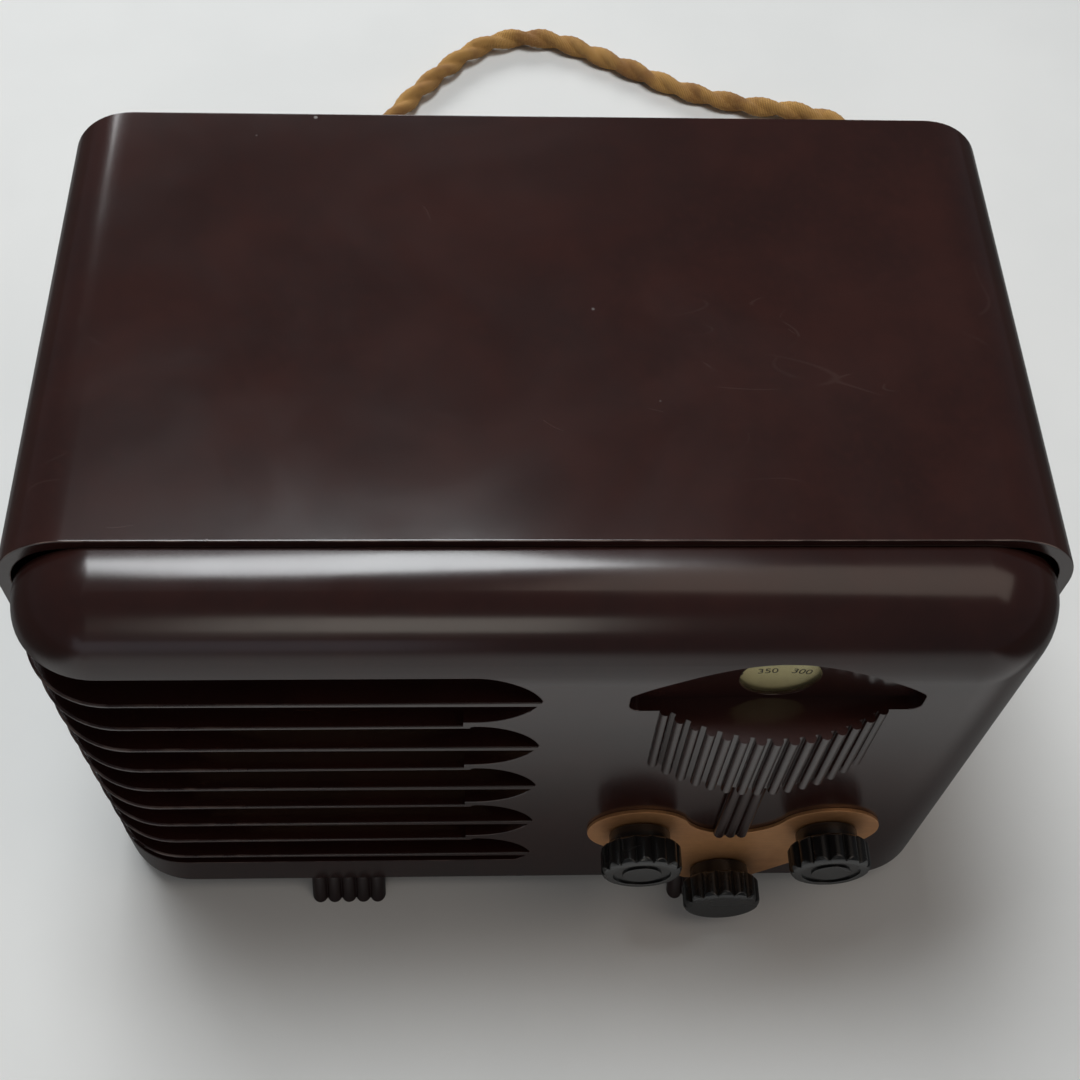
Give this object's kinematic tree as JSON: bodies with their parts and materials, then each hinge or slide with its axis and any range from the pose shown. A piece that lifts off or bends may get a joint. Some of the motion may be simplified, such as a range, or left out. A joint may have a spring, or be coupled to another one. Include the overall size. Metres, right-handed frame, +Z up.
{
  "type": "tube radio",
  "caption": "Midget table tube radio with a louvered moulded cabinet, a reeded dial drum, turning knobs, a geared dial and a cloth-covered cord with its plug.",
  "frame": {"origin": "on the table under the middle of the cabinet, midway between the knobs' fronts and the back edge", "axes": "+X to the right seen from the front, +Y from the front to the back, +Z up"},
  "size_m": [0.2668, 0.3676, 0.1522],
  "materials": {
    "cabinet_moulding": "dark mottled moulding, polished, with fine scratches and worn edges",
    "knob_moulding": "near-black moulding, semi-gloss",
    "copper_plate": "copper-coloured plate, satin, slightly tarnished",
    "fibre_board": "pressed brown fibre board, matt",
    "screw_steel": "plated screws",
    "brass_fittings": "turned brass, dull",
    "grille_fabric": "coarse woven grille cloth",
    "speaker_paint": "grey painted pressed steel",
    "cone_paper": "black paper cone",
    "magnet_iron": "rough cast magnet",
    "core_iron": "varnished laminations",
    "dial_card": "cream dial card with plain numbers",
    "celluloid": "clear, slightly yellowed sheet",
    "drive_string": "waxed string",
    "shaft_steel": "turned steel shaft",
    "vane_aluminium": "thin aluminium vanes",
    "frame_steel": "zinc-plated sheet",
    "phenolic": "brown phenolic sheet",
    "socket_black": "moulded black",
    "electrode_metal": "carbonised sheet",
    "bulb_glass": "clear glass",
    "can_aluminium": "drawn aluminium can",
    "rubber_black": "black rubber",
    "cord_cloth": "golden brown twisted cotton-covered flex",
    "plug_moulding": "dark moulded plug"
  },
  "bodies": {
    "cabinet": {"front_panel": "cabinet_moulding", "rear_shell": "cabinet_moulding", "back_cover": "fibre_board", "back_screws": "screw_steel", "front_screws": "screw_steel", "foot_front_left": "cabinet_moulding", "foot_front_right": "cabinet_moulding", "foot_rear_left": "cabinet_moulding", "foot_rear_right": "cabinet_moulding", "grille_cloth": "grille_fabric", "speaker_basket": "speaker_paint", "speaker_cone": "cone_paper", "speaker_magnet": "magnet_iron", "speaker_screws": "screw_steel", "output_transformer": "core_iron", "dial_window": "celluloid", "drive_cord": "drive_string", "tuning_bush": "brass_fittings", "volume_control": "frame_steel", "band_switch": "phenolic", "gang_frame": "frame_steel", "gang_stator": "vane_aluminium", "chassis": "frame_steel", "chassis_bolts": "screw_steel", "tube_sockets": "socket_black", "tube_bases": "socket_black", "tube_plates": "electrode_metal", "tube_bulb_1": "bulb_glass", "tube_bulb_2": "bulb_glass", "tube_bulb_3": "bulb_glass", "tube_bulb_4": "bulb_glass", "tube_bulb_5": "bulb_glass", "if_can_1": "can_aluminium", "if_can_2": "can_aluminium", "filter_can": "can_aluminium", "lamp_holder": "brass_fittings", "dial_lamp": "bulb_glass", "escutcheon": "copper_plate", "control_nuts": "brass_fittings", "cord_gland": "rubber_black", "strain_relief": "rubber_black", "cord": "cord_cloth", "coil": "cord_cloth", "plug_lead": "cord_cloth", "plug_body": "plug_moulding", "plug_pins": "brass_fittings", "cord_tie": "rubber_black"},
    "tuning": {"tuning_shaft": "shaft_steel", "tuning_knob": "knob_moulding", "tuning_grub": "screw_steel"},
    "gang": {"gang_rotor": "vane_aluminium", "dial_hub": "brass_fittings", "dial_disc": "dial_card"},
    "volume": {"volume_shaft": "shaft_steel", "volume_knob": "knob_moulding", "volume_grub": "screw_steel"},
    "band": {"band_shaft": "shaft_steel", "band_knob": "knob_moulding", "band_grub": "screw_steel"}
  },
  "joints": [
    {"name": "tuning_turn", "type": "hinge", "parent": "cabinet", "child": "tuning", "pos_m": [0.07675, -0.079, 0.0445], "axis": [0, 1, 0], "range_deg": [-540, 540]},
    {"name": "gang_turn", "type": "hinge", "parent": "cabinet", "child": "gang", "pos_m": [0.051, -0.0612, 0.095], "axis": [0, 1, 0], "range_deg": [-90, 90]},
    {"name": "volume_turn", "type": "hinge", "parent": "cabinet", "child": "volume", "pos_m": [0.02805, -0.079, 0.0445], "axis": [0, 1, 0], "range_deg": [0, 300]},
    {"name": "band_turn", "type": "hinge", "parent": "cabinet", "child": "band", "pos_m": [0.0524, -0.079, 0.017], "axis": [0, 1, 0], "range_deg": [0, 60]}
  ],
  "couplings": [
    {"joint": "gang_turn", "follows": "tuning_turn", "ratio": 0.16667}
  ]
}
